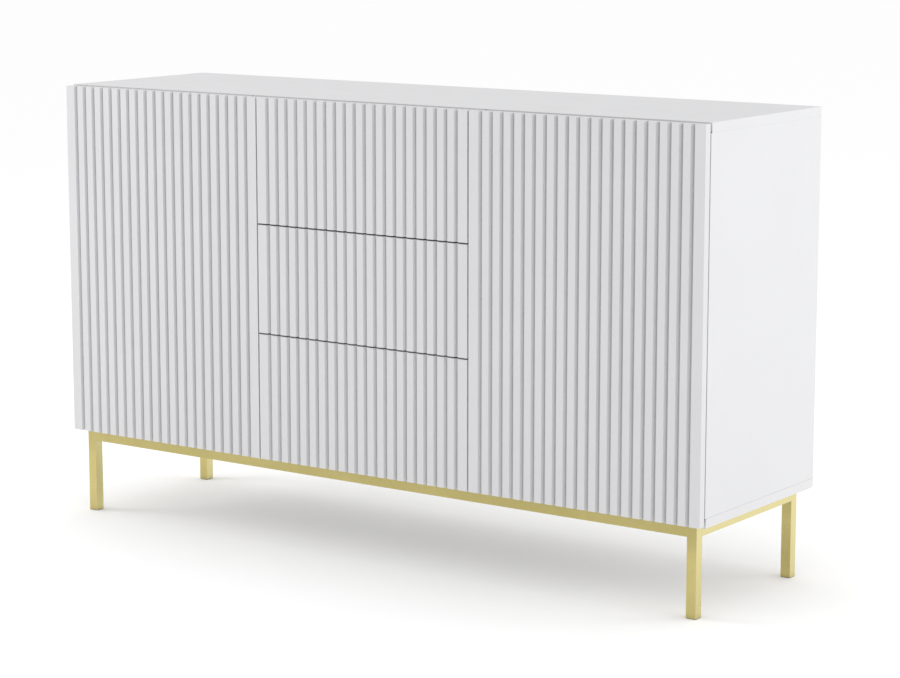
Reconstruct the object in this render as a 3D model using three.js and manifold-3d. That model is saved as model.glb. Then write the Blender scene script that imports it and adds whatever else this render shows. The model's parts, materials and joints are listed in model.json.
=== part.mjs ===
// Sideboard: a white laminated carcass with a door on each side of a stack of three drawers. All five
// fronts have vertical flutes and no handles, and the carcass stands on a base of square steel tube.
// Millimetres, +Z up, the fronts face -Y. The origin is on the floor, in the middle of the footprint.
import * as THREE from 'three';
import { mergeVertices } from 'three/addons/utils/BufferGeometryUtils.js';
import Module from 'manifold-3d';

const wasm = await Module();
wasm.setup();

// Overall sizes
const width = 1500;
const depth = 425;
const height = 890;
const legHeight = 170;

// Carcass boards
const board = 18;
const edgeSetback = 3;
const backSheet = 3;
const backInset = 12;
const backGrooveDepth = 6;
const sheetClearance = 0.2;
const shelfClearance = 1;
const shelfFrontSetback = 22;
const shelfLift = 333;

// Bores for the shelf pins, in two columns on each wall of a bay
const pinBore = { radius: 2.5, depth: 10 };
const pinRows = 5;
const pinStep = 32;
const pinFromEnd = 38;
const pinDrop = 3.1;
const pinSegments = 16;

// Fronts
const frontThickness = 16;
const frontGap = 3;
const frontSeam = 3;
const frontTopDrop = 2;
const frontBottomRise = 4;
const middleDrawerFront = 213;
const bottomDrawerExtra = 5;

// Flutes in the fronts
const flutePitch = 23.5;
const fluteMouth = 8.6;
const fluteFloor = 4;
const fluteDepth = 5;
const edgeSlatLeast = 15;

// Drawer boxes and runners
const drawerBoard = 12;
const drawerSheet = 3;
const drawerSheetLift = 10;
const drawerGrooveDepth = 5;
const drawerFloorClearance = 10;
const drawerLift = 14;
const drawerTopDrop = 64;
const runnerStep = 50;
const runnerEndClearance = 20;
const runnerWidth = 12.7;
const runnerHeight = 35;
const runnerSheet = 1.2;
const runnerReach = 9.7;
const runnerPlay = 3.3;
const runnerLift = 42;
const runnerSetback = 2;

// Concealed hinges
const hingeFromEnd = 100;
const cupEdge = 5;
const cupRadius = 17.5;
const cupSkin = 1.8;
const cupWall = 1.2;
const cupClearance = 0.2;
const cupPlate = { wide: 38, tall: 56, thick: 1 };
const armNose = { outer: 13, inner: 26 };
const armHeight = 14;
const armLength = 66;
const armThick = 13;
const armRelief = 2.5;

// Push latches
const latchFromSeam = 23;
const latchBore = { radius: 5.1, length: 52 };
const latchRod = { radius: 4, length: 46 };
const latchTipClearance = 0.4;

// Base frame
const tube = 20;
const tubeWall = 1.5;
const legInset = 18;
const rearInset = 30;
const plugFlange = 1;
const plugMargin = 0.5;
const plugStem = 15;
const plugFit = 0.3;

const roundSegments = 40;

// Places that several pieces share
const frontY = -depth / 2;
const frontBackY = frontY + frontThickness;
const sideFrontY = frontBackY + frontGap;
const panelFrontY = sideFrontY + edgeSetback;
const rearY = depth / 2;
const sheetY = rearY - backInset - backSheet;
const innerBottom = legHeight + board;
const innerTop = height - board;
const frontBottom = legHeight + frontBottomRise;
const frontTop = height - frontTopDrop;
const frontWidth = (width - 2 * frontSeam) / 3;
const columnStep = frontWidth + frontSeam;
const partitionX = columnStep / 2;
const innerX = width / 2 - board;
const bayInnerX = partitionX + board / 2;
const shelfFrontY = sideFrontY + shelfFrontSetback;
const shelfRearY = sheetY - shelfClearance;
const shelfBottom = innerBottom + shelfLift;

const laminate = { color: 0xf1f1f2, roughness: 0.45, metalness: 0 };
const lacquer = { color: 0xececee, roughness: 0.5, metalness: 0 };
const hardboard = { color: 0xe6e5e2, roughness: 0.7, metalness: 0 };
const gold = { color: 0xc9b878, roughness: 0.35, metalness: 0.9 };
const zinc = { color: 0xb9bcc0, roughness: 0.35, metalness: 0.9 };
const nickel = { color: 0xc8c8c6, roughness: 0.25, metalness: 0.95 };
const darkPlastic = { color: 0x2b2b2b, roughness: 0.6, metalness: 0 };
const palePlastic = { color: 0xd9d9d9, roughness: 0.5, metalness: 0 };

// ---- solids ----------------------------------------------------------------------------------

function toSolid(geometry) {
  const bare = geometry.index ? geometry.toNonIndexed() : geometry.clone();
  bare.deleteAttribute('normal');
  bare.deleteAttribute('uv');
  const merged = mergeVertices(bare, 1e-4);
  return new wasm.Manifold(new wasm.Mesh({
    numProp: 3,
    vertProperties: new Float32Array(merged.attributes.position.array),
    triVerts: new Uint32Array(merged.index.array),
  }));
}

function toGeometry(solid) {
  const mesh = solid.getMesh();
  const geometry = new THREE.BufferGeometry();
  geometry.setAttribute('position', new THREE.BufferAttribute(mesh.vertProperties, 3));
  geometry.setIndex(new THREE.BufferAttribute(mesh.triVerts, 1));
  const flat = geometry.toNonIndexed();
  flat.computeVertexNormals();
  return flat;
}

function cut(geometry, ...tools) {
  const solid = tools.reduce((rest, tool) => rest.subtract(toSolid(tool)), toSolid(geometry));
  return toGeometry(solid);
}

function join(geometry, ...others) {
  const solid = others.reduce((whole, other) => whole.add(toSolid(other)), toSolid(geometry));
  return toGeometry(solid);
}

// A block from its lowest corner to its highest corner.
function block([x0, y0, z0], [x1, y1, z1]) {
  const geometry = new THREE.BoxGeometry(x1 - x0, y1 - y0, z1 - z0);
  return geometry.translate((x0 + x1) / 2, (y0 + y1) / 2, (z0 + z1) / 2);
}

function outline(points) {
  return new THREE.Shape(points.map(([a, b]) => new THREE.Vector2(a, b)));
}

// A plan outline (x, y) raised from z0 to z1.
function raise(shape, z0, z1) {
  const geometry = new THREE.ExtrudeGeometry(shape, { depth: z1 - z0, bevelEnabled: false });
  return geometry.translate(0, 0, z0);
}

// An end-view outline (x, z) drawn from y0 to y1.
function draw(shape, y0, y1) {
  const geometry = new THREE.ExtrudeGeometry(shape, { depth: y1 - y0, bevelEnabled: false });
  return geometry.rotateX(Math.PI / 2).translate(0, y1, 0);
}

// A turned piece whose axis runs along Y: the profile is (radius, y).
function turn(profile, segments = roundSegments) {
  const points = profile.map(([r, y]) => new THREE.Vector2(r, y));
  return new THREE.LatheGeometry(points, segments);
}

function rod(radius, y0, y1, segments = roundSegments) {
  return turn([[0, y0], [radius, y0], [radius, y1], [0, y1]], segments);
}

function place(parent, name, geometry, finish, x = 0, y = 0, z = 0) {
  const mesh = new THREE.Mesh(geometry, new THREE.MeshStandardMaterial(finish));
  mesh.name = name;
  mesh.position.set(x, y, z);
  parent.add(mesh);
  return mesh;
}

// ---- carcass ---------------------------------------------------------------------------------

const sides = [['left', -1], ['right', 1]];

// The groove that the back sheet sits in, cut into the face at z, towards +Z or -Z.
function sheetGroove(z, direction) {
  const reach = innerX + backGrooveDepth;
  const low = Math.min(z, z + direction * backGrooveDepth);
  const high = Math.max(z, z + direction * backGrooveDepth);
  const y0 = sheetY - sheetClearance;
  const y1 = sheetY + backSheet + sheetClearance;
  return block([-reach, y0, low], [reach, y1, high]);
}

function latchX(direction) {
  return direction * (columnStep / 2 + frontSeam / 2 + latchFromSeam);
}

function topPanel() {
  const plain = block([-width / 2, panelFrontY, innerTop], [width / 2, rearY, height]);
  const bores = sides.map(([, direction]) => {
    const bore = rod(latchBore.radius, panelFrontY - 1, panelFrontY + latchBore.length);
    return bore.translate(latchX(direction), 0, height - board / 2);
  });
  return cut(plain, sheetGroove(innerTop, 1), ...bores);
}

function bottomPanel() {
  const plain = block([-width / 2, panelFrontY, legHeight], [width / 2, rearY, innerBottom]);
  return cut(plain, sheetGroove(innerBottom, -1));
}

// The shelf pins' bores in an upright face at x. direction is the way that they go into the board.
function pinBores(x, direction) {
  const bores = [];
  for (const y of [shelfFrontY + pinFromEnd, shelfRearY - pinFromEnd]) {
    for (let row = 0; row < pinRows; row += 1) {
      const z = shelfBottom - pinDrop + (row - (pinRows - 1) / 2) * pinStep;
      const bore = rod(pinBore.radius, -1, pinBore.depth, pinSegments);
      bores.push(bore.rotateZ(-direction * Math.PI / 2).translate(x, y, z));
    }
  }
  return bores;
}

// A side panel in plan, with the back sheet's groove in its inner face. direction points outwards.
function sidePanel(direction) {
  const inner = direction * innerX;
  const outer = direction * width / 2;
  const grooved = inner + direction * backGrooveDepth;
  const y0 = sheetY - sheetClearance;
  const y1 = sheetY + backSheet + sheetClearance;
  const plan = [
    [inner, sideFrontY], [outer, sideFrontY], [outer, rearY], [inner, rearY],
    [inner, y1], [grooved, y1], [grooved, y0], [inner, y0],
  ];
  return cut(raise(outline(plan), innerBottom, innerTop), ...pinBores(inner, direction));
}

// The board between a bay and the drawers. direction points to the bay.
function partition(direction) {
  const x0 = direction * partitionX - board / 2;
  const plain = block([x0, sideFrontY, innerBottom], [x0 + board, shelfRearY, innerTop]);
  return cut(plain, ...pinBores(direction * bayInnerX, -direction));
}

function shelf(direction) {
  const ends = [bayInnerX + shelfClearance, innerX - shelfClearance].map((x) => direction * x);
  const low = [Math.min(...ends), shelfFrontY, shelfBottom];
  return block(low, [Math.max(...ends), shelfRearY, shelfBottom + board]);
}

function backPanel() {
  const reach = innerX + backGrooveDepth - shelfClearance;
  const lift = backGrooveDepth - shelfClearance;
  const low = [-reach, sheetY, innerBottom - lift];
  return block(low, [reach, sheetY + backSheet, innerTop + lift]);
}

function makeCarcass() {
  const carcass = new THREE.Group();
  place(carcass, 'top_panel', topPanel(), laminate);
  place(carcass, 'bottom_panel', bottomPanel(), laminate);
  place(carcass, 'back_panel', backPanel(), hardboard);
  for (const [side, direction] of sides) {
    place(carcass, `side_panel_${side}`, sidePanel(direction), laminate);
    place(carcass, `partition_${side}`, partition(direction), laminate);
    place(carcass, `shelf_${side}`, shelf(direction), laminate);
  }
  return carcass;
}

// ---- fluted fronts ---------------------------------------------------------------------------

// A front's plan outline, centred on x = 0, with its back on y = 0 and its face at -frontThickness.
function flutedPlan(frontWide) {
  const count = Math.floor((frontWide - 2 * edgeSlatLeast - fluteMouth) / flutePitch) + 1;
  const shoulder = (fluteMouth - fluteFloor) / 2;
  const face = -frontThickness;
  const floor = face + fluteDepth;
  const points = [[frontWide / 2, 0], [-frontWide / 2, 0], [-frontWide / 2, face]];
  for (let i = 0; i < count; i += 1) {
    const middle = (i - (count - 1) / 2) * flutePitch;
    const start = middle - fluteMouth / 2;
    const end = middle + fluteMouth / 2;
    points.push([start, face], [start + shoulder, floor], [end - shoulder, floor], [end, face]);
  }
  points.push([frontWide / 2, face]);
  return outline(points.reverse());
}

function flutedFront(frontHigh) {
  return raise(flutedPlan(frontWidth), 0, frontHigh);
}

// ---- hinges and doors ------------------------------------------------------------------------

const cupBore = frontThickness - fluteDepth - cupSkin;
const cupCentre = cupEdge + cupRadius;

// The cup and its screw plate, with the cup's axis on x = 0, z = 0 and the door's back on y = 0.
function hingeCup() {
  const outer = cupRadius - cupClearance;
  const inner = outer - cupWall;
  const bottom = -cupBore + cupClearance;
  const lip = cupPlate.thick;
  const bowl = turn([[0, bottom], [outer, bottom], [outer, lip], [inner, lip],
    [inner, bottom + cupWall], [0, bottom + cupWall]]);
  const half = cupPlate.wide / 2;
  const tall = cupPlate.tall / 2;
  const plate = block([-half, 0, -tall], [half, lip, tall]);
  const opening = rod(outer - cupWall / 2, -1, lip + 1);
  return join(bowl, cut(plate, opening));
}

// The arm that reaches from the side panel into the cup, in plan. Its x is the distance in from the
// outer face of the carcass, and its y is the carcass's own.
function hingeArm(direction) {
  const noseY = frontBackY - cupBore + cupWall + 1.5;
  const bridgeY = frontBackY + frontGap / 2;
  const armFace = board + armThick;
  const plan = [
    [armNose.outer, noseY], [armNose.inner, noseY], [armNose.inner, sideFrontY],
    [armFace, sideFrontY + armThick], [armFace, sideFrontY + armLength], [board, sideFrontY + armLength],
    [board, sideFrontY + 2 * armThick], [board + armRelief, sideFrontY + armThick],
    [board + armRelief, bridgeY], [armNose.outer, bridgeY],
  ];
  const toCarcass = ([inset, y]) => [direction * (width / 2 - inset), y];
  return raise(outline(plan.map(toCarcass)), -armHeight / 2, armHeight / 2);
}

function makeDoor(side, direction) {
  const door = new THREE.Group();
  const doorHigh = frontTop - frontBottom;
  const centreX = direction * columnStep;
  door.position.set(0, 0, frontBottom);
  const cupX = direction * (width / 2 - cupCentre);
  const hingeHeights = [['lower', hingeFromEnd], ['upper', doorHigh - hingeFromEnd]];
  const blank = flutedFront(doorHigh).translate(centreX, frontBackY, 0);
  const bores = hingeHeights.map(([, z]) => {
    return rod(cupRadius, frontBackY - cupBore, frontBackY + 1).translate(cupX, 0, z);
  });
  place(door, `door_${side}`, cut(blank, ...bores), lacquer);
  for (const [level, z] of hingeHeights) {
    place(door, `hinge_cup_${side}_${level}`, hingeCup(), nickel, cupX, frontBackY, z);
    place(door, `hinge_arm_${side}_${level}`, hingeArm(direction), nickel, 0, 0, z);
  }
  return door;
}

// ---- push latches ----------------------------------------------------------------------------

function makeLatch(side, direction) {
  const tipY = frontBackY + latchTipClearance;
  const plunger = rod(latchRod.radius, tipY, tipY + latchRod.length);
  const latch = new THREE.Group();
  place(latch, `latch_plunger_${side}`, plunger, palePlastic, latchX(direction), 0, height - board / 2);
  return latch;
}

// ---- drawers ---------------------------------------------------------------------------------

const drawerBay = 2 * (partitionX - board / 2);
const drawerWide = drawerBay - 2 * runnerWidth;
const runnerY = sideFrontY + runnerSetback;
const runnerRoom = sheetY - runnerEndClearance - runnerY;
const runnerLength = runnerStep * Math.floor(runnerRoom / runnerStep);
const drawerRearY = runnerY + runnerLength;

// Three front heights, from the bottom up.
function drawerFronts() {
  const shared = frontTop - frontBottom - 2 * frontSeam - middleDrawerFront;
  const bottom = (shared + bottomDrawerExtra) / 2;
  return [['bottom', bottom], ['middle', middleDrawerFront], ['top', shared - bottom]];
}

// A drawer side seen from the end, with the bottom sheet's groove in its inner face.
function drawerSide(direction, low, high) {
  const outer = direction * drawerWide / 2;
  const inner = outer - direction * drawerBoard;
  const grooved = inner + direction * drawerGrooveDepth;
  const z0 = low + drawerSheetLift - sheetClearance;
  const z1 = low + drawerSheetLift + drawerSheet + sheetClearance;
  const ends = [
    [inner, low], [outer, low], [outer, high], [inner, high],
    [inner, z1], [grooved, z1], [grooved, z0], [inner, z0],
  ];
  return draw(outline(ends), frontBackY, drawerRearY);
}

// One channel of a runner seen from the end: its web stands on x = 0 and it opens towards +X.
function channel(tall, open) {
  const half = tall / 2;
  const ends = [
    [0, -half], [runnerReach, -half], [runnerReach, -half + runnerSheet], [runnerSheet, -half + runnerSheet],
    [runnerSheet, half - runnerSheet], [runnerReach, half - runnerSheet], [runnerReach, half], [0, half],
  ];
  return draw(outline(ends.map(([x, z]) => [open * x, z])), runnerY, runnerY + runnerLength);
}

function makeRunner(name, side, direction, z) {
  const runner = new THREE.Group();
  runner.position.z = z;
  const innerTall = runnerHeight - 2 * (runnerSheet + runnerPlay);
  const wallX = direction * drawerBay / 2;
  const boxX = direction * drawerWide / 2;
  place(runner, `${name}_runner_${side}`, channel(runnerHeight, -direction), zinc, wallX);
  place(runner, `${name}_slide_${side}`, channel(innerTall, direction), zinc, boxX);
  return runner;
}

function makeDrawer(name, low, frontHigh) {
  const drawer = new THREE.Group();
  const boxLow = Math.max(low + drawerLift, innerBottom + drawerFloorClearance);
  const boxHigh = low + frontHigh - drawerTopDrop + drawerLift;
  const inside = drawerWide / 2 - drawerBoard;
  const sheetLow = boxLow + drawerSheetLift;
  const sheetHigh = sheetLow + drawerSheet;
  const sheetReach = inside + drawerGrooveDepth - shelfClearance;
  place(drawer, `${name}_drawer_front`, flutedFront(frontHigh), lacquer, 0, frontBackY, low);
  for (const [side, direction] of sides) {
    place(drawer, `${name}_drawer_side_${side}`, drawerSide(direction, boxLow, boxHigh), laminate);
    drawer.add(makeRunner(name, side, direction, boxLow + runnerLift));
  }
  const sheet = block([-sheetReach, frontBackY, sheetLow], [sheetReach, drawerRearY, sheetHigh]);
  place(drawer, `${name}_drawer_bottom`, sheet, hardboard);
  const back = block([-inside, drawerRearY - drawerBoard, sheetHigh], [inside, drawerRearY, boxHigh]);
  place(drawer, `${name}_drawer_back`, back, laminate);
  return drawer;
}

function makeDrawers() {
  const stack = new THREE.Group();
  let low = frontBottom;
  for (const [name, frontHigh] of drawerFronts()) {
    stack.add(makeDrawer(name, low, frontHigh));
    low += frontHigh + frontSeam;
  }
  return stack;
}

// ---- base ------------------------------------------------------------------------------------

function squareTube(length) {
  const half = tube / 2;
  const bore = half - tubeWall;
  const section = outline([[-half, -half], [half, -half], [half, half], [-half, half]]);
  section.holes.push(outline([[-bore, -bore], [-bore, bore], [bore, bore], [bore, -bore]]));
  return raise(section, -length / 2, length / 2);
}

// The plastic foot: a stem inside the tube on a thin square flange, standing on z = 0.
function footPlug() {
  const flange = tube / 2 - plugMargin;
  const stem = tube / 2 - tubeWall - plugFit;
  const pad = block([-flange, -flange, 0], [flange, flange, plugFlange]);
  return join(pad, block([-stem, -stem, plugFlange / 2], [stem, stem, plugFlange + plugStem]));
}

function makeBase() {
  const base = new THREE.Group();
  const legX = width / 2 - legInset - tube / 2;
  const rows = [['front', panelFrontY + tube / 2], ['rear', rearY - rearInset - tube / 2]];
  const railZ = legHeight - tube / 2;
  const legLong = legHeight - plugFlange;
  for (const [row, y] of rows) {
    for (const [side, direction] of sides) {
      const x = direction * legX;
      place(base, `leg_${row}_${side}`, squareTube(legLong), gold, x, y, plugFlange + legLong / 2);
      place(base, `foot_plug_${row}_${side}`, footPlug(), darkPlastic, x, y, 0);
    }
    const rail = squareTube(2 * legX - tube).rotateY(Math.PI / 2);
    place(base, `rail_${row}`, rail, gold, 0, y, railZ);
  }
  const span = rows[1][1] - rows[0][1] - tube;
  for (const [side, direction] of sides) {
    const rail = squareTube(span).rotateX(Math.PI / 2);
    place(base, `rail_${side}`, rail, gold, direction * legX, (rows[0][1] + rows[1][1]) / 2, railZ);
  }
  return base;
}

// ---- sideboard -------------------------------------------------------------------------------

const sideboard = new THREE.Group();
sideboard.add(makeCarcass(), makeDrawers(), makeBase());
for (const [side, direction] of sides) {
  sideboard.add(makeDoor(side, direction), makeLatch(side, direction));
}

export default sideboard;
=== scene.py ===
"""Looks for the sideboard: camera, light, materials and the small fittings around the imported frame.

Sizes of fittings are in millimetres. Camera, lights, floor and shader distances are in metres.
"""
import json
import math

import bmesh
import bpy
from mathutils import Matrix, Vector


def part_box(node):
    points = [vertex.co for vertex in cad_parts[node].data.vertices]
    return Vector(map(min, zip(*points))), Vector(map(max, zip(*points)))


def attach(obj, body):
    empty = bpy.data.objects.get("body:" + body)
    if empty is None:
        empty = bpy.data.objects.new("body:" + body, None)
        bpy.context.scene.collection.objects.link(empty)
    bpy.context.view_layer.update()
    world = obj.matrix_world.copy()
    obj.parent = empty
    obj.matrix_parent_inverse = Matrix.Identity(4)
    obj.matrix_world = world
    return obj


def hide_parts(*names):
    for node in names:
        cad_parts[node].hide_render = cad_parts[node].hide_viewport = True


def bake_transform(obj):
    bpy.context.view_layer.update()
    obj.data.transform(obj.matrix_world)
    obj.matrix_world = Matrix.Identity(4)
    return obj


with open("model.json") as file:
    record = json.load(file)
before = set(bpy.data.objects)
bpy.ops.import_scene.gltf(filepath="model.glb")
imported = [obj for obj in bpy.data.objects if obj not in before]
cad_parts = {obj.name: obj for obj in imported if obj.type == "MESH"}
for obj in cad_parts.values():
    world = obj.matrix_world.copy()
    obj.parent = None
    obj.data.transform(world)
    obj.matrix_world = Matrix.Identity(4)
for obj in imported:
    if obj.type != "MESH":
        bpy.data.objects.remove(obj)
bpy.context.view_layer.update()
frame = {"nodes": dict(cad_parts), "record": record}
MM = 0.001
SIDES = (("left", -1), ("right", 1))
LEVELS = ("lower", "upper")
DRAWERS = ("bottom", "middle", "top")
WHITE = (1.0, 1.0, 1.0, 1.0)

# ---- camera ------------------------------------------------------------------------------------

# Solved from the photo's straight edges. The lens and the sensor are in millimetres.
CAMERA = {
    "place": (3.0389, -4.1913, 1.3052),
    "turn": math.radians(35.41),
    "tilt": math.radians(9.82),
    "lens": 106.5,
    "sensor": 36.0,
    "far": 1000.0,
}


def make_camera():
    data = bpy.data.cameras.new("camera")
    data.lens = CAMERA["lens"]
    data.sensor_width = CAMERA["sensor"]
    data.clip_end = CAMERA["far"]
    camera = bpy.data.objects.new("camera", data)
    camera.location = CAMERA["place"]
    camera.rotation_euler = (math.pi / 2 - CAMERA["tilt"], 0.0, CAMERA["turn"])
    bpy.context.scene.collection.objects.link(camera)
    bpy.context.scene.camera = camera


# ---- light and floor ---------------------------------------------------------------------------

WORLD_STRENGTH = 0.93
LIGHTS = {
    "left": {"place": (-3.4, -1.6, 1.8), "target": (-0.2, -0.2, 0.5), "size": 1.6, "power": 36.0},
    "right": {"place": (4.5, 0.3, 1.4), "target": (0.7, 0.0, 0.5), "size": 1.8, "power": 21.0},
    "right_rear": {"place": (3.6, 2.2, 1.4), "target": (0.7, 0.0, 0.5), "size": 1.8, "power": 21.0},
    "top": {"place": (0.0, 0.2, 4.0), "target": (0.0, 0.0, 0.5), "size": 3.0, "power": 5.0},
}
FLOOR = {"size": 600.0, "color": 0.93, "painted_shadow": 0.76, "glow": 0.12, "rough": 0.9}
# Reach, start and end of the ambient occlusion that paints the floor's shadow.
FLOOR_PAINTED_SHADOW = (0.6, 0.1, 0.9)


def area_light(name, place, target, size, power):
    data = bpy.data.lights.new(name, "AREA")
    data.shape = "DISK"
    data.size = size
    data.energy = power
    light = bpy.data.objects.new(name, data)
    light.location = place
    direction = Vector(target) - Vector(place)
    light.rotation_euler = direction.to_track_quat("-Z", "Y").to_euler()
    light.visible_camera = False
    bpy.context.scene.collection.objects.link(light)


def make_light():
    world = bpy.data.worlds.new("studio")
    world.use_nodes = True
    background = world.node_tree.nodes["Background"]
    background.inputs["Color"].default_value = WHITE
    background.inputs["Strength"].default_value = WORLD_STRENGTH
    bpy.context.scene.world = world
    bpy.context.scene.view_settings.view_transform = "Standard"
    for name, light in LIGHTS.items():
        area_light(name, **light)


def make_floor():
    """A pale floor with a faint glow of its own, as a lit studio sweep has, and a painted soft shadow.
    """
    half = FLOOR["size"] / 2
    corners = [(-half, -half, 0.0), (half, -half, 0.0), (half, half, 0.0), (-half, half, 0.0)]
    mesh = bpy.data.meshes.new("floor")
    mesh.from_pydata(corners, [], [(0, 1, 2, 3)])
    m = Nodes("floor")
    open_color = (FLOOR["color"],) * 3
    painted_shadow_color = (FLOOR["painted_shadow"],) * 3
    # Painted shadow: the floor's colour darkens where ambient occlusion finds the sideboard close
    # above.
    painted_shadow_mask = m.hollow(*FLOOR_PAINTED_SHADOW)
    m.link(m.ramp(painted_shadow_mask, [open_color, painted_shadow_color]), m.shader.inputs["Base Color"])
    m.shader.inputs["Roughness"].default_value = FLOOR["rough"]
    m.shader.inputs["Specular IOR Level"].default_value = 0.0
    m.shader.inputs["Emission Color"].default_value = WHITE
    m.shader.inputs["Emission Strength"].default_value = FLOOR["glow"]
    mesh.materials.append(m.material)
    floor = bpy.data.objects.new("floor", mesh)
    bpy.context.scene.collection.objects.link(floor)


# ---- material nodes ----------------------------------------------------------------------------

WORN_SAMPLES = 4
WORN_LEAN = (0.80, 0.98)
HOLLOW_SAMPLES = 8


class Nodes:
    """A material's nodes, with short ways to add and link them."""

    def __init__(self, name):
        self.material = bpy.data.materials.new(name)
        self.material.use_nodes = True
        self.tree = self.material.node_tree
        self.shader = self.tree.nodes["Principled BSDF"]
        coordinates = self.add("ShaderNodeTexCoord")
        self.place = coordinates.outputs["Object"]
        self.normal = coordinates.outputs["Normal"]

    def add(self, kind, **values):
        node = self.tree.nodes.new(kind)
        for name, value in values.items():
            setattr(node, name, value)
        return node

    def link(self, source, target):
        self.tree.links.new(source, target)

    def noise(self, scale, detail, stretch=(1.0, 1.0, 1.0)):
        mapping = self.add("ShaderNodeMapping")
        mapping.inputs["Scale"].default_value = stretch
        self.link(self.place, mapping.inputs["Vector"])
        noise = self.add("ShaderNodeTexNoise")
        noise.inputs["Scale"].default_value = scale
        noise.inputs["Detail"].default_value = detail
        self.link(mapping.outputs["Vector"], noise.inputs["Vector"])
        return noise.outputs["Fac"]

    def spread(self, source, low, high, start=0.3, end=0.7, kind="LINEAR"):
        """Maps start..end of a source to low..high. The defaults take a noise's usual range."""
        spread = self.add("ShaderNodeMapRange", interpolation_type=kind)
        spread.inputs["From Min"].default_value = start
        spread.inputs["From Max"].default_value = end
        spread.inputs["To Min"].default_value = low
        spread.inputs["To Max"].default_value = high
        self.link(source, spread.inputs["Value"])
        return spread.outputs["Result"]

    def ramp(self, source, colors):
        ramp = self.add("ShaderNodeValToRGB")
        elements = ramp.color_ramp.elements
        for element, color in zip(elements, colors):
            element.color = (*color, 1.0)
        self.link(source, ramp.inputs["Fac"])
        return ramp.outputs["Color"]

    def mix(self, share, first, color):
        """Blends a colour output towards one flat colour by share."""
        mix = self.add("ShaderNodeMix", data_type="RGBA")
        self.link(share, mix.inputs["Factor"])
        self.link(first, mix.inputs["A"])
        mix.inputs["B"].default_value = (*color, 1.0)
        return mix.outputs["Result"]

    def times(self, first, second):
        times = self.add("ShaderNodeMath", operation="MULTIPLY")
        self.link(first, times.inputs[0])
        self.link(second, times.inputs[1])
        return times.outputs["Value"]

    def scaled(self, color, share):
        """A colour output times a value output."""
        scaled = self.add("ShaderNodeVectorMath", operation="SCALE")
        self.link(color, scaled.inputs["Vector"])
        self.link(share, scaled.inputs["Scale"])
        return scaled.outputs["Vector"]

    def worn_edges(self, width):
        """1 on a worn edge and 0 elsewhere, from how far a rounded normal leans off the true one."""
        bevel = self.add("ShaderNodeBevel", samples=WORN_SAMPLES)
        bevel.inputs["Radius"].default_value = width
        true = self.add("ShaderNodeNewGeometry").outputs["Normal"]
        lean = self.add("ShaderNodeVectorMath", operation="DOT_PRODUCT")
        self.link(bevel.outputs["Normal"], lean.inputs[0])
        self.link(true, lean.inputs[1])
        return self.spread(lean.outputs["Value"], 1.0, 0.0, *WORN_LEAN)

    def hollow(self, reach, start, end, local=False):
        """1 where surfaces close by hide most of the light, and 0 in the open."""
        shade = self.add("ShaderNodeAmbientOcclusion", samples=HOLLOW_SAMPLES, only_local=local)
        shade.inputs["Distance"].default_value = reach
        return self.spread(shade.outputs["AO"], 1.0, 0.0, start, end)

    def facing(self, axis, low, high):
        """How squarely the surface faces along an axis, either way: 0 at low, 1 at high."""
        normal = self.add("ShaderNodeSeparateXYZ")
        self.link(self.normal, normal.inputs["Vector"])
        size = self.add("ShaderNodeMath", operation="ABSOLUTE")
        self.link(normal.outputs[axis], size.inputs[0])
        return self.spread(size.outputs["Value"], 0.0, 1.0, low, high)

    def height(self, low, high):
        """0 at the low height and 1 at the high one."""
        place = self.add("ShaderNodeSeparateXYZ")
        self.link(self.place, place.inputs["Vector"])
        return self.spread(place.outputs["Z"], 0.0, 1.0, low, high, kind="SMOOTHSTEP")

    def darker(self, where, share):
        """1 where the source is 0, down to share where it is 1."""
        return self.spread(where, 1.0, share, 0.0, 1.0)

    def bump(self, source, strength, distance):
        bump = self.add("ShaderNodeBump")
        bump.inputs["Strength"].default_value = strength
        bump.inputs["Distance"].default_value = distance
        self.link(source, bump.inputs["Height"])
        self.link(bump.outputs["Normal"], self.shader.inputs["Normal"])


# ---- materials ---------------------------------------------------------------------------------

# A noise is (scale, detail) and sometimes a stretch. A hollow is (reach, start, end).
COATED = {"cloud": (7.0, 4.0), "gloss": (23.0, 4.0), "peel_detail": 2.0, "peel_depth": 0.0004}
# Painted shade in the flutes' floors: a hollow, how squarely the floor faces front, and the darkest
# share.
GROOVE_PAINTED_SHADE = {"hollow": (0.012, 0.66, 0.84), "facing": (0.9, 0.98), "dark": 0.45}
# Painted shade in seams and gaps: a hollow and the darkest share.
SEAM_PAINTED_SHADE = {"hollow": (0.003, 0.7, 0.97), "dark": 0.2}
METAL = {
    "cloud": (9.0, 4.0),
    "gloss": (60.0, 4.0),
    "grain": (900.0, 2.0),
    "grain_depth": 0.0002,
    "worn": 0.0006,
}
GOLD = {
    "cloud": (6.0, 4.0, (1.0, 1.0, 2.5)),
    "gloss": (40.0, 4.0, (1.0, 1.0, 0.2)),
    "grain": (700.0, 2.0, (1.0, 1.0, 0.15)),
    "grain_strength": 0.04,
    "grain_depth": 0.0002,
    "worn": 0.0008,
    "facing": (0.3, 0.7),
    # Painted light: the paler colour that side faces, turned away from the front, blend towards.
    "side": (0.72, 0.64, 0.31),
    # Painted reflection: front faces grow darker between these heights near the top, down to the next
    # share.
    "upper": (0.10, 0.15),
    "upper_painted_reflection": 0.82,
    # Painted shade where close parts, such as the fronts above the rails, hide the light.
    "painted_shade_hollow": (0.025, 0.35, 0.7),
    "painted_shade_share": 0.75,
}


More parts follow.
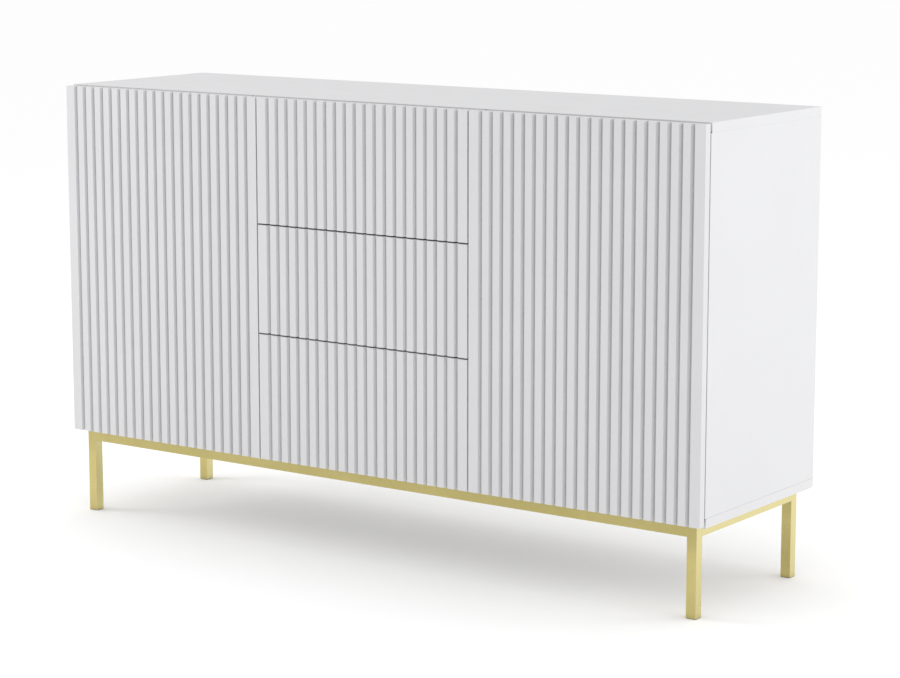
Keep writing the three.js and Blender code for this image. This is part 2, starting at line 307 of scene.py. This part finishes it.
def coated(name, dark, light, rough, peel, peel_scale, shade=None):
    """A painted or laminated surface: cloudy colour, uneven gloss, a fine skin and optional painted
    shade in hollows.
    """
    m = Nodes(name)
    color = m.ramp(m.spread(m.noise(*COATED["cloud"]), 0.0, 1.0), [dark, light])
    # An optional shade multiplies painted shade into the colour.
    if shade:
        color = m.scaled(color, shade(m))
    m.link(color, m.shader.inputs["Base Color"])
    m.link(m.spread(m.noise(*COATED["gloss"]), *rough), m.shader.inputs["Roughness"])
    m.bump(m.noise(peel_scale, COATED["peel_detail"]), peel, COATED["peel_depth"])
    return m.material


def groove_painted_shade(m):
    """Painted shade on the flat floors of the flutes, darker where the groove walls hide the light."""
    # Painted shade: the base colour darkens where ambient occlusion and a front-facing floor meet.
    floor = m.times(m.hollow(*GROOVE_PAINTED_SHADE["hollow"], local=True), m.facing("Y", *GROOVE_PAINTED_SHADE["facing"]))
    return m.darker(floor, GROOVE_PAINTED_SHADE["dark"])


def seam_painted_shade(m):
    """Painted shade in the thin seams where two boards meet or a front closes on the frame."""
    return m.darker(m.hollow(*SEAM_PAINTED_SHADE["hollow"]), SEAM_PAINTED_SHADE["dark"])


def metal(name, dark, light, edge, rough, stretch, grain):
    """Bare or plated metal, brushed along its stretch and paler on worn edges."""
    m = Nodes(name)
    m.shader.inputs["Metallic"].default_value = 1.0
    color = m.ramp(m.spread(m.noise(*METAL["cloud"]), 0.0, 1.0), [dark, light])
    m.link(m.mix(m.worn_edges(METAL["worn"]), color, edge), m.shader.inputs["Base Color"])
    m.link(m.spread(m.noise(*METAL["gloss"], stretch), *rough), m.shader.inputs["Roughness"])
    m.bump(m.noise(*METAL["grain"], stretch), grain, METAL["grain_depth"])
    return m.material


def gold(name, dark, light, edge, rough):
    """Brass-coloured plating, paler on side faces as painted light, with a painted dark reflection near
    the top and painted shade under the fronts.
    """
    m = Nodes(name)
    m.shader.inputs["Metallic"].default_value = 1.0
    cloud = m.ramp(m.spread(m.noise(*GOLD["cloud"]), 0.0, 1.0), [dark, light])
    squarely = m.facing("Y", *GOLD["facing"])
    # Painted reflection: a darker band near the top of the front faces.
    upper = m.times(squarely, m.height(*GOLD["upper"]))
    # Painted light: faces not facing front blend towards the paler side colour.
    cloud_with_painted_light = m.mix(m.darker(squarely, 0.0), cloud, GOLD["side"])
    cloud_with_painted_light = m.scaled(cloud_with_painted_light, m.darker(upper, GOLD["upper_painted_reflection"]))
    # Painted shade under the fronts and near other close parts.
    cloud_with_painted_light = m.scaled(cloud_with_painted_light, m.darker(m.hollow(*GOLD["painted_shade_hollow"]), GOLD["painted_shade_share"]))
    m.link(m.mix(m.worn_edges(GOLD["worn"]), cloud_with_painted_light, edge), m.shader.inputs["Base Color"])
    m.link(m.spread(m.noise(*GOLD["gloss"]), *rough), m.shader.inputs["Roughness"])
    m.bump(m.noise(*GOLD["grain"]), GOLD["grain_strength"], GOLD["grain_depth"])
    return m.material


LOOKS = {
    "white_laminate": (coated, {
        "dark": (0.648, 0.649, 0.660), "light": (0.660, 0.661, 0.672), "rough": (0.42, 0.50),
        # The laminate's shade is painted shade in its seams and gaps.
        "peel": 0.02, "peel_scale": 900.0, "shade": seam_painted_shade,
    }),
    "white_front": (coated, {
        "dark": (0.632, 0.632, 0.643), "light": (0.644, 0.644, 0.655), "rough": (0.38, 0.46),
        # The fronts' shade is painted shade in the flute floors.
        "peel": 0.015, "peel_scale": 700.0, "shade": groove_painted_shade,
    }),
    "back_sheet": (coated, {
        "dark": (0.662, 0.658, 0.648), "light": (0.676, 0.672, 0.662), "rough": (0.6, 0.75),
        "peel": 0.15, "peel_scale": 500.0,
    }),
    "gold_frame": (gold, {
        "dark": (0.545, 0.465, 0.185), "light": (0.60, 0.515, 0.215), "edge": (0.76, 0.67, 0.36),
        "rough": (0.24, 0.34),
    }),
    "zinc": (metal, {
        "dark": (0.55, 0.57, 0.60), "light": (0.68, 0.70, 0.72), "edge": (0.80, 0.81, 0.82),
        "rough": (0.28, 0.42), "stretch": (1, 0.1, 1), "grain": 0.15,
    }),
    "nickel": (metal, {
        "dark": (0.62, 0.61, 0.58), "light": (0.72, 0.71, 0.69), "edge": (0.82, 0.81, 0.79),
        "rough": (0.16, 0.30), "stretch": (1, 1, 1), "grain": 0.05,
    }),
    "dark_plastic": (coated, {
        "dark": (0.02, 0.02, 0.02), "light": (0.035, 0.035, 0.035), "rough": (0.5, 0.65),
        "peel": 0.3, "peel_scale": 1500.0,
    }),
    "pale_plastic": (coated, {
        "dark": (0.55, 0.55, 0.55), "light": (0.62, 0.62, 0.62), "rough": (0.35, 0.45),
        "peel": 0.1, "peel_scale": 1500.0,
    }),
}

# ---- carried-over nodes ------------------------------------------------------------------------

BEVELS = {
    "white_laminate": 0.5,
    "white_front": 0.35,
    "back_sheet": 0.15,
    "gold_frame": 0.2,
    "zinc": 0.25,
    "nickel": 0.3,
    "dark_plastic": 0.3,
    "pale_plastic": 0.4,
}
BEVEL_SEGMENTS = 3
BEVEL_ANGLE = math.radians(25.0)
WELD_DISTANCE = 0.01
FLAT_ANGLE = math.radians(0.5)
FACE_WEIGHT = 100


def round_edges(node, width):
    """Joins the node's flat triangles back into faces and rounds its edges, all as modifiers."""
    weld = node.modifiers.new("weld", "WELD")
    weld.merge_threshold = WELD_DISTANCE * MM
    flat = node.modifiers.new("flat", "DECIMATE")
    flat.decimate_type = "DISSOLVE"
    flat.angle_limit = FLAT_ANGLE
    bevel = node.modifiers.new("bevel", "BEVEL")
    bevel.width = width * MM
    bevel.segments = BEVEL_SEGMENTS
    bevel.limit_method = "ANGLE"
    bevel.angle_limit = BEVEL_ANGLE
    normals = node.modifiers.new("normals", "WEIGHTED_NORMAL")
    normals.mode = "FACE_AREA"
    normals.weight = FACE_WEIGHT
    for polygon in node.data.polygons:
        polygon.use_smooth = True


def finish_nodes(materials):
    slots = {part["node"]: part["material_slot"] for part in frame["record"]["subparts"]}
    for name, node in frame["nodes"].items():
        slot = slots[name]
        node.data.materials.clear()
        node.data.materials.append(materials[slot])
        round_edges(node, BEVELS[slot])


# ---- shapes of the small fittings ---------------------------------------------------------------

SHARP = math.radians(30.0)
# For each drawing axis: the two coordinates of an outline's points, then the axis itself.
AXES = {"x": (1, 2, 0), "z": (0, 1, 2)}
ROUNDING_SEGMENTS = 2
ROUND_PROFILE = 0.5
ARC_STEPS = 6
PIN_SEGMENTS = 16

# A screw head, as shares of its radius and height: the dome's shoulders and the cross recess.
SCREW_SEGMENTS = 32
SCREW_RIM = {"height": 0.35, "straight": 0.6, "chamfer": 0.96, "flat_top": 0.58}
SCREW_SHOULDERS = ((0.82, 0.74), (0.66, 0.95))
CROSS = {"arm": 0.5, "half": 0.14, "taper": 0.7, "floor": 0.35, "middle": 0.3}

# The radius and height of each kind of screw head and cam.
SCREWS = {
    "hinge_plate": (3.8, 1.6),
    "hinge_arm": (3.4, 1.1),
    "hinge_cup": (3.6, 0.9),
    "back": (3.2, 1.4),
    "base": (4.2, 1.8),
    "runner": (3.6, 1.5),
    "slide": (3.4, 1.4),
    "drawer_cam": (7.4, 0.4),
    "drawer_side": (3.8, 0.8),
    "drawer_sheet": (3.4, 1.3),
}


class Shape:
    """A mesh put together from rounded blocks, drawn outlines and turned pieces, in millimetres."""

    def __init__(self):
        self.whole = bmesh.new()

    def take(self, part, rounding):
        bmesh.ops.recalc_face_normals(part, faces=part.faces[:])
        if rounding:
            edges = [edge for edge in part.edges if edge.calc_face_angle(0.0) > SHARP]
            bmesh.ops.bevel(
                part, geom=edges, offset=rounding, segments=ROUNDING_SEGMENTS,
                profile=ROUND_PROFILE, affect="EDGES")
        mesh = bpy.data.meshes.new("part")
        part.to_mesh(mesh)
        part.free()
        self.whole.from_mesh(mesh)
        bpy.data.meshes.remove(mesh)

    def outline(self, points, low, high, axis, rounding):
        """An outline drawn from low to high along an axis. Its points are the other two coordinates."""
        part = bmesh.new()
        first, second, along = AXES[axis]
        rings = []
        for height in (low, high):
            ring = []
            for a, b in points:
                place = [0.0, 0.0, 0.0]
                place[first], place[second], place[along] = a, b, height
                ring.append(part.verts.new(place))
            rings.append(ring)
            part.faces.new(ring)
        count = len(points)
        for i in range(count):
            j = (i + 1) % count
            part.faces.new((rings[0][i], rings[0][j], rings[1][j], rings[1][i]))
        self.take(part, rounding)

    def block(self, low, high, rounding):
        (x0, y0, z0), (x1, y1, z1) = low, high
        self.outline([(x0, y0), (x1, y0), (x1, y1), (x0, y1)], z0, z1, "z", rounding)

    def turned(self, profile, centre, axis, segments):
        """Rings of (radius, height) about an axis. A radius may be a function of the angle."""
        part = bmesh.new()
        middle = Vector(centre)
        up = Vector(axis).normalized()
        across = up.orthogonal().normalized()
        beside = up.cross(across)
        rings = []
        for radius, height in profile:
            if radius == 0:
                rings.append([part.verts.new(middle + up * height)])
                continue
            ring = []
            for i in range(segments):
                angle = math.tau * (i + 0.5) / segments
                reach = radius(angle) if callable(radius) else radius
                spoke = across * math.cos(angle) + beside * math.sin(angle)
                ring.append(part.verts.new(middle + up * height + spoke * reach))
            rings.append(ring)
        for ring, following in zip(rings, rings[1:]):
            for i in range(segments):
                j = (i + 1) % segments
                corners = [ring[i % len(ring)], ring[j % len(ring)]]
                corners += [following[j % len(following)], following[i % len(following)]]
                part.faces.new(list(dict.fromkeys(corners)))
        self.take(part, 0.0)

    def upright_pin(self, centre, radius, reach):
        """A plain pin that reaches as far below its centre as above it."""
        profile = [(0.0, -reach), (radius, -reach), (radius, reach), (0.0, reach)]
        self.turned(profile, centre, (0, 0, 1), PIN_SEGMENTS)

    def screw(self, centre, axis, radius, height, flat=False):
        """A screw head standing on centre, with a cross recess. A flat head has a straight rim."""
        arm = radius * CROSS["arm"]
        half = radius * CROSS["half"]

        def cross(angle):
            c, s = abs(math.cos(angle)), abs(math.sin(angle))
            return max(min(arm / c, half / s), min(arm / s, half / c))

        rim = height if flat else height * SCREW_RIM["height"]
        dome = [(0.0, 0.0), (radius, 0.0)]
        dome += [(radius, rim * SCREW_RIM["straight"]), (radius * SCREW_RIM["chamfer"], rim)]
        if not flat:
            dome += sized(SCREW_SHOULDERS, radius, height)
        dome += [(radius * SCREW_RIM["flat_top"], height), (cross, height)]
        dome += [(lambda angle: cross(angle) * CROSS["taper"], height * CROSS["floor"])]
        dome += [(0.0, height * CROSS["middle"])]
        self.turned(dome, centre, axis, SCREW_SEGMENTS)

    def finish(self, name, slot, body):
        """Makes the piece in metres, smooth but for its sharp edges, riding on its body."""
        mesh = bpy.data.meshes.new(name)
        bmesh.ops.scale(self.whole, vec=(MM, MM, MM), verts=self.whole.verts[:])
        self.whole.to_mesh(mesh)
        self.whole.free()
        mesh.shade_smooth()
        mesh.set_sharp_from_angle(angle=SHARP)
        mesh.materials.append(materials[slot])
        piece = bpy.data.objects.new(name, mesh)
        bpy.context.scene.collection.objects.link(piece)
        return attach(piece, body) if body else piece


def box(node):
    """A CAD node's lowest and highest corner, in millimetres."""
    low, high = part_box(node)
    return low / MM, high / MM


def face_x(low, high, direction):
    """Where a node's face that looks along direction stands."""
    return high.x if direction > 0 else low.x


def between(low, high, share):
    return low + (high - low) * share


def sized(shares, radius, height):
    """A turned outline given as shares of its radius and height."""
    return [(radius * wide, height * tall) for wide, tall in shares]


def arc(centre, radius, start, end):
    """Points on an arc, from one angle to another in degrees."""
    found = []
    for i in range(ARC_STEPS + 1):
        angle = math.radians(start + (end - start) * i / ARC_STEPS)
        found.append((centre[0] + radius * math.cos(angle), centre[1] + radius * math.sin(angle)))
    return found


# ---- hinges ------------------------------------------------------------------------------------

ARM = {
    "sheet": 1.2, "nose": 13.0, "slope_end": 13.0, "bridge": 1.5, "end_gap": 1.0, "lap": 0.5,
    "web_trim": 0.4, "rounding": 0.3, "screws": (24.0, 48.0),
}
PLATE = {"thick": 2.5, "from_front": 37.0, "rounding": 0.5}
FOOT = {"from_front": 19.0, "half": 8.5, "past_arm": 1.0}
WING = {"reach": 23.0, "screw": 16.0, "half": 5.5}
HINGE_PIN = {"radius": 1.6, "past_arm": 0.5, "places": ((4.0, 3.2), (9.5, 3.6))}
LINK = {
    "sheet": 1.6, "half": 4.4, "knuckle": 2.3, "steps": 16, "pin_past": 1.4,
    "start": (4.5, 3.4), "end": (21.0, 2.2),
}
CUP_SCREW = {"lift": 23.0, "from_middle": 6.0}


def hinge_arm(side, direction, level):
    """The stamped arm on its cross-shaped plate, from the side board's face to the nose in the cup."""
    low, high = box(f"hinge_arm_{side}_{level}")
    panel_low, panel_high = box(f"side_panel_{side}")
    inward = -direction
    wall = face_x(panel_low, panel_high, inward)
    edge = panel_low.y
    middle = (low.z + high.z) / 2
    half = (high.z - low.z) / 2
    nose_outer = face_x(low, high, direction)
    nose_inner = nose_outer - direction * ARM["nose"]
    arm_inner = face_x(low, high, inward)
    plate_face = wall + inward * PLATE["thick"]
    bridge = edge - ARM["bridge"]
    slope_end = edge + ARM["slope_end"]
    shape = Shape()

    flange = [
        (nose_outer, low.y), (nose_inner, low.y), (nose_inner, edge), (arm_inner, slope_end),
        (arm_inner, high.y), (plate_face, high.y), (plate_face, bridge), (nose_outer, bridge),
    ]
    for z in (middle - half, middle + half - ARM["sheet"]):
        shape.outline(flange, z, z + ARM["sheet"], "z", ARM["rounding"])

    sheet = inward * -ARM["sheet"]
    web_start, web_end = low.y + ARM["end_gap"], high.y - ARM["end_gap"]
    web = [
        (nose_inner, web_start), (nose_inner, edge), (arm_inner, slope_end), (arm_inner, web_end),
        (arm_inner + sheet, web_end), (arm_inner + sheet, slope_end + ARM["lap"]),
        (nose_inner + sheet, edge + ARM["lap"]), (nose_inner + sheet, web_start),
    ]
    trimmed = half - ARM["web_trim"]
    shape.outline(web, middle - trimmed, middle + trimmed, "z", ARM["rounding"])

    across = edge + PLATE["from_front"]
    low_face, high_face = sorted((wall, plate_face))
    reach = WING["reach"] - WING["half"]
    wings = arc((across, middle + reach), WING["half"], 0, 180)
    wings += arc((across, middle - reach), WING["half"], 180, 360)
    shape.outline(wings, low_face, high_face, "x", PLATE["rounding"])
    foot_start, foot_end = edge + FOOT["from_front"], high.y + FOOT["past_arm"]
    foot_low, foot_high = middle - FOOT["half"], middle + FOOT["half"]
    foot = [
        (foot_start, foot_low), (foot_end, foot_low), (foot_end, foot_high), (foot_start, foot_high),
    ]
    shape.outline(foot, low_face, high_face, "x", PLATE["rounding"])

    for lift in (-WING["screw"], WING["screw"]):
        shape.screw((plate_face, across, middle + lift), (inward, 0, 0), *SCREWS["hinge_plate"])
    for y in ARM["screws"]:
        place = (arm_inner, edge + y, middle)
        shape.screw(place, (inward, 0, 0), *SCREWS["hinge_arm"], flat=True)
    for x, y in HINGE_PIN["places"]:
        place = (nose_outer + inward * x, low.y + y, middle)
        shape.upright_pin(place, HINGE_PIN["radius"], half + HINGE_PIN["past_arm"])
    piece = shape.finish(f"hinge_arm_body_{side}_{level}", "nickel", "carcass")
    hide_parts(f"hinge_arm_{side}_{level}")


def hinge_link(side, direction, level):
    """The band from the arm's nose to the cup."""
    low, high = box(f"hinge_arm_{side}_{level}")
    middle = (low.z + high.z) / 2
    nose_outer = face_x(low, high, direction)
    start, end = (
        Vector((nose_outer - direction * x, low.y + y, middle))
        for x, y in (LINK["start"], LINK["end"])
    )
    shape = Shape()
    along = end - start
    across = Vector((-along.y, along.x, 0.0)).normalized() * LINK["sheet"] / 2
    upper, lower = [], []
    for i in range(LINK["steps"] + 1):
        point = start + along * (i / LINK["steps"])
        upper.append((point.x + across.x, point.y + across.y))
        lower.append((point.x - across.x, point.y - across.y))
    half = LINK["half"]
    shape.outline(upper + lower[::-1], middle - half, middle + half, "z", 0.0)
    for place in (start, end):
        shape.upright_pin(place, LINK["knuckle"], half)
        shape.upright_pin(place, HINGE_PIN["radius"], half + LINK["pin_past"])
    piece = shape.finish(f"hinge_link_{side}_{level}", "nickel", None)
    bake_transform(piece)


def cup_screws(side, direction, level):
    low, high = box(f"hinge_cup_{side}_{level}")
    middle = (low.z + high.z) / 2
    shape = Shape()
    x = (low.x + high.x) / 2 - direction * CUP_SCREW["from_middle"]
    for lift in (-CUP_SCREW["lift"], CUP_SCREW["lift"]):
        shape.screw((x, high.y, middle + lift), (0, 1, 0), *SCREWS["hinge_cup"], flat=True)
    shape.finish(f"hinge_cup_screws_{side}_{level}", "nickel", f"door_{side}")


def make_hinges():
    for side, direction in SIDES:
        for level in LEVELS:
            hinge_arm(side, direction, level)
            hinge_link(side, direction, level)
            cup_screws(side, direction, level)


# ---- doors and latches -------------------------------------------------------------------------

BUMPER = {"radius": 3.2, "height": 2.2, "from_edge": 4.4, "from_end": 60.0, "segments": 20}
BUMPER_OUTLINE = ((0.0, 0.0), (1.0, 0.0), (1.0, 0.4), (0.9, 0.75), (0.62, 1.0), (0.0, 1.0))
STRIKE = {"wide": 22.0, "tall": 11.0, "thick": 0.25, "rounding": 0.08}
SLEEVE = {
    "outer": 5.0, "inner": 4.2, "flange": 6.6, "thick": 1.0, "chamfer": 0.3, "length": 49.0,
}
LATCH_SEGMENTS = 32
# How far inside the plunger's radius its outline lies, and how far from the tip.
PLUNGER_TIP = (
    (1.2, 0.0), (0.4, 0.3), (0.0, 1.0), (0.0, 3.4), (0.35, 3.7), (0.35, 4.2), (0.0, 4.5),
)


def door_bumpers(side, direction):
    """Two clear pads on the door's back, near its free edge."""
    low, high = box(f"door_{side}")
    x = face_x(low, high, -direction) + direction * BUMPER["from_edge"]
    pad = sized(BUMPER_OUTLINE, BUMPER["radius"], BUMPER["height"])
    shape = Shape()
    for z in (low.z + BUMPER["from_end"], high.z - BUMPER["from_end"]):
        shape.turned(pad, (x, high.y, z), (0, 1, 0), BUMPER["segments"])
    shape.finish(f"door_bumpers_{side}", "pale_plastic", f"door_{side}")


def latch(side):
    """The push latch: a collared sleeve in the top board, a ringed plunger and a strike plate."""
    low, high = box(f"latch_plunger_{side}")
    x, z = (low.x + high.x) / 2, (low.z + high.z) / 2
    edge = box("top_panel")[0].y
    outer, inner, flange = SLEEVE["outer"], SLEEVE["inner"], SLEEVE["flange"]
    thick, chamfer, length = SLEEVE["thick"], SLEEVE["chamfer"], SLEEVE["length"]
    tube = [
        (inner, -thick), (flange - chamfer, -thick), (flange, -thick + chamfer), (flange, 0.0),
        (outer, 0.0), (outer, length), (inner, length), (inner, -thick),
    ]
    sleeve = Shape()
    sleeve.turned(tube, (x, edge, z), (0, 1, 0), LATCH_SEGMENTS)
    sleeve.finish(f"latch_sleeve_{side}", "pale_plastic", "carcass")

    r = (high.z - low.z) / 2
    length = high.y - low.y
    rod = [(0.0, 0.0)] + [(r - inside, along) for inside, along in PLUNGER_TIP]
    rod += [(r, length), (0.0, length)]
    plunger = Shape()
    plunger.turned(rod, (x, low.y, z), (0, 1, 0), LATCH_SEGMENTS)
    piece = plunger.finish(f"latch_plunger_body_{side}", "pale_plastic", f"latch_{side}")
    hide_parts(f"latch_plunger_{side}")

    back = box(f"door_{side}")[1].y
    half, tall = STRIKE["wide"] / 2, STRIKE["tall"] / 2
    plate_low = (x - half, back, z - tall)
    plate_high = (x + half, back + STRIKE["thick"], z + tall)
    strike = Shape()
    strike.block(plate_low, plate_high, STRIKE["rounding"])
    strike.finish(f"latch_strike_{side}", "zinc", f"door_{side}")


def make_latches():
    for side, direction in SIDES:
        door_bumpers(side, direction)
        latch(side)


# ---- carcass fittings --------------------------------------------------------------------------

PEG = {
    "radius": 2.5, "collar": 3.6, "collar_end": 1.2, "neck": 1.5, "reach": 9.0, "chamfer": 0.6,
    "from_end": 38.0, "segments": 20,
}
TONGUE = {"thick": 0.6, "half": 4.5, "rounding": 0.15}
CAP = {"radius": 8.5, "height": 0.9, "from_end": 34.0, "from_front": 48.0, "from_rear": 66.0}
CAP_OUTLINE = (
    (0.0, 0.0), (1.0, 0.0), (1.0, 0.4), (0.94, 0.85), (0.86, 1.0), (0.2, 1.0), (0.0, 0.8),
)
CAP_SEGMENTS = 28
BACK_SCREW_ROWS = 5
# Each rail's name, the axis it runs along and its number of screws.
RAIL_SCREWS = (("rail_front", 0, 4), ("rail_rear", 0, 4), ("rail_left", 1, 2), ("rail_right", 1, 2))


def shelf_pins(side, direction):
    """Four pins under a shelf: a collared peg with a flat tongue that the shelf lies on."""
    low, high = box(f"shelf_{side}")
    r, reach, collar = PEG["radius"], PEG["reach"], PEG["collar"]
    peg = [
        (0.0, 0.0), (collar, 0.0), (collar, PEG["collar_end"]), (r, PEG["neck"]),
        (r, reach - PEG["chamfer"]), (r - PEG["chamfer"], reach), (0.0, reach),
    ]
    walls = {"outer": (direction, f"side_panel_{side}"), "inner": (-direction, f"partition_{side}")}
    rows = {"front": low.y + PEG["from_end"], "rear": high.y - PEG["from_end"]}
    for wall, (outward, board) in walls.items():
        face = face_x(*box(board), -outward)
        x0, x1 = sorted((face, face - outward * reach))
        for row, y in rows.items():
            shape = Shape()
            place = (face, y, low.z - r - TONGUE["thick"])
            shape.turned(peg, place, (-outward, 0, 0), PEG["segments"])
            tongue_low = (x0, y - TONGUE["half"], low.z - TONGUE["thick"])
            shape.block(tongue_low, (x1, y + TONGUE["half"], low.z), TONGUE["rounding"])
            shape.finish(f"shelf_pin_{side}_{wall}_{row}", "zinc", "carcass")


def cam_caps(name, node, inward):
    """Four caps over the cam fittings near a standing board's ends, on the face towards inward."""
    low, high = box(node)
    face = face_x(low, high, inward)
    cap = sized(CAP_OUTLINE, CAP["radius"], CAP["height"])
    shape = Shape()
    for z in (low.z + CAP["from_end"], high.z - CAP["from_end"]):
        for y in (low.y + CAP["from_front"], high.y - CAP["from_rear"]):
            shape.turned(cap, (face, y, z), (inward, 0, 0), CAP_SEGMENTS)
    shape.finish(name, "pale_plastic", "carcass")


def back_screws():
    """Rows of small screws that hold the back sheet to the two partitions."""
    low, high = box("back_panel")
    shape = Shape()
    for side, _ in SIDES:
        post_low, post_high = box(f"partition_{side}")
        x = (post_low.x + post_high.x) / 2
        for i in range(BACK_SCREW_ROWS):
            z = low.z + (high.z - low.z) * (i + 0.5) / BACK_SCREW_ROWS
            shape.screw((x, high.y, z), (0, 1, 0), *SCREWS["back"])
    shape.finish("back_panel_screws", "zinc", "carcass")


def base_screws():
    """Screw heads under the rails that hold the base to the bottom board."""
    for rail, along, count in RAIL_SCREWS:
        low, high = box(rail)
        shape = Shape()
        for i in range(count):
            place = (low + high) / 2
            place[along] = low[along] + (high[along] - low[along]) * (i + 0.5) / count
            place.z = low.z
            shape.screw(place, (0, 0, -1), *SCREWS["base"])
        shape.finish(f"{rail}_screws", "zinc", "carcass")


def make_carcass_fittings():
    for side, direction in SIDES:
        shelf_pins(side, direction)
        cam_caps(f"cam_caps_side_{side}", f"side_panel_{side}", -direction)
        cam_caps(f"cam_caps_partition_{side}", f"partition_{side}", direction)
    back_screws()
    base_screws()


# ---- drawer fittings ---------------------------------------------------------------------------

BALL = {"radius": 1.45, "step": 9.0, "count": 12, "rings": 6, "segments": 10}
CAGE = {"thick": 0.5, "wide": 4.4, "from_front": 6.0, "rounding": 0.1}
CHANNEL_SHEET = 1.2
STOP = {"start": 7.0, "end": 1.0, "half": 6.0, "rounding": 0.8}
# Where screws sit, as shares of a runner's, a slide's or a bottom sheet's length.
RUNNER_SCREWS = (0.08, 0.5, 0.92)
SLIDE_SCREWS = (0.15, 0.62)
SHEET_SCREWS = (0.15, 0.5, 0.85)
DRAWER_CAM = {"from_front": 30.0, "from_bottom": 14.0, "from_top": 16.0}
SIDE_SCREW_FROM_REAR = 6.0


def balls_and_cages(name, side, track, start, middle, gap_middle):
    """A strip of caged balls above and below the sliding channel."""
    radius, rings = BALL["radius"], BALL["rings"]
    ball = [(0.0, -radius)]
    for k in range(1, rings):
        turn = math.pi * k / rings
        ball.append((radius * math.sin(turn), -radius * math.cos(turn)))
    ball.append((0.0, radius))
    half, thin = CAGE["wide"] / 2, CAGE["thick"] / 2
    length = BALL["step"] * BALL["count"]
    cage = Shape()
    balls = Shape()
    for up in (-1, 1):
        z = middle + up * gap_middle
        cage_low = (track - half, start, z - thin)
        cage.block(cage_low, (track + half, start + length, z + thin), CAGE["rounding"])
        for i in range(BALL["count"]):
            place = (track, start + BALL["step"] * (i + 0.5), z)
            balls.turned(ball, place, (0, 0, 1), BALL["segments"])
    cage.finish(f"{name}_ball_cage_{side}", "zinc", "carcass")
    balls.finish(f"{name}_balls_{side}", "nickel", "carcass")


def runner_fittings(name, side, direction):
    """Ball cages in the fixed channel, its screws and rear stop, and the sliding channel's screws."""
    low, high = box(f"{name}_runner_{side}")
    slide_low, slide_high = box(f"{name}_slide_{side}")
    middle = (low.z + high.z) / 2
    wall = face_x(low, high, direction)
    mouth = face_x(low, high, -direction)
    slide_edge = face_x(slide_low, slide_high, direction)
    track = (mouth + slide_edge) / 2
    gap_middle = ((high.z - CHANNEL_SHEET) + slide_high.z) / 2 - middle
    balls_and_cages(name, side, track, low.y + CAGE["from_front"], middle, gap_middle)

    fixed = Shape()
    web = wall - direction * CHANNEL_SHEET
    for share in RUNNER_SCREWS:
        place = (web, between(low.y, high.y, share), middle)
        fixed.screw(place, (-direction, 0, 0), *SCREWS["runner"])
    fixed.finish(f"{name}_runner_screws_{side}", "zinc", "carcass")

    stop = Shape()
    x0, x1 = sorted((web, mouth))
    stop_low = (x0, high.y - STOP["start"], middle - STOP["half"])
    stop.block(stop_low, (x1, high.y - STOP["end"], middle + STOP["half"]), STOP["rounding"])
    stop.finish(f"{name}_runner_stop_{side}", "dark_plastic", "carcass")

    moving = Shape()
    inner_web = face_x(slide_low, slide_high, -direction) + direction * CHANNEL_SHEET
    for share in SLIDE_SCREWS:
        place = (inner_web, between(slide_low.y, slide_high.y, share), middle)
        moving.screw(place, (direction, 0, 0), *SCREWS["slide"])
    moving.finish(f"{name}_slide_screws_{side}", "zinc", f"{name}_drawer")


def drawer_fittings(name):
    """Cams at the front of a drawer's sides, screws at the back and under the bottom sheet."""
    body = f"{name}_drawer"
    cams = Shape()
    screws = Shape()
    for side, direction in SIDES:
        low, high = box(f"{name}_drawer_side_{side}")
        face = face_x(low, high, direction)
        outward = (direction, 0, 0)
        for z in (low.z + DRAWER_CAM["from_bottom"], high.z - DRAWER_CAM["from_top"]):
            cam_place = (face, low.y + DRAWER_CAM["from_front"], z)
            cams.screw(cam_place, outward, *SCREWS["drawer_cam"], flat=True)
            screw_place = (face, high.y - SIDE_SCREW_FROM_REAR, z)
            screws.screw(screw_place, outward, *SCREWS["drawer_side"], flat=True)
    sheet_bottom = box(f"{name}_drawer_bottom")[0].z
    back_low, back_high = box(f"{name}_drawer_back")
    for share in SHEET_SCREWS:
        x = between(back_low.x, back_high.x, share)
        place = (x, (back_low.y + back_high.y) / 2, sheet_bottom)
        screws.screw(place, (0, 0, -1), *SCREWS["drawer_sheet"])
    cams.finish(f"{body}_cams", "zinc", body)
    screws.finish(f"{body}_screws", "zinc", body)


def make_drawer_fittings():
    for name in DRAWERS:
        drawer_fittings(name)
        for side, direction in SIDES:
            runner_fittings(name, side, direction)


make_camera()
make_light()
make_floor()
materials = {name: make(name, **values) for name, (make, values) in LOOKS.items()}
finish_nodes(materials)
make_hinges()
make_latches()
make_carcass_fittings()
make_drawer_fittings()
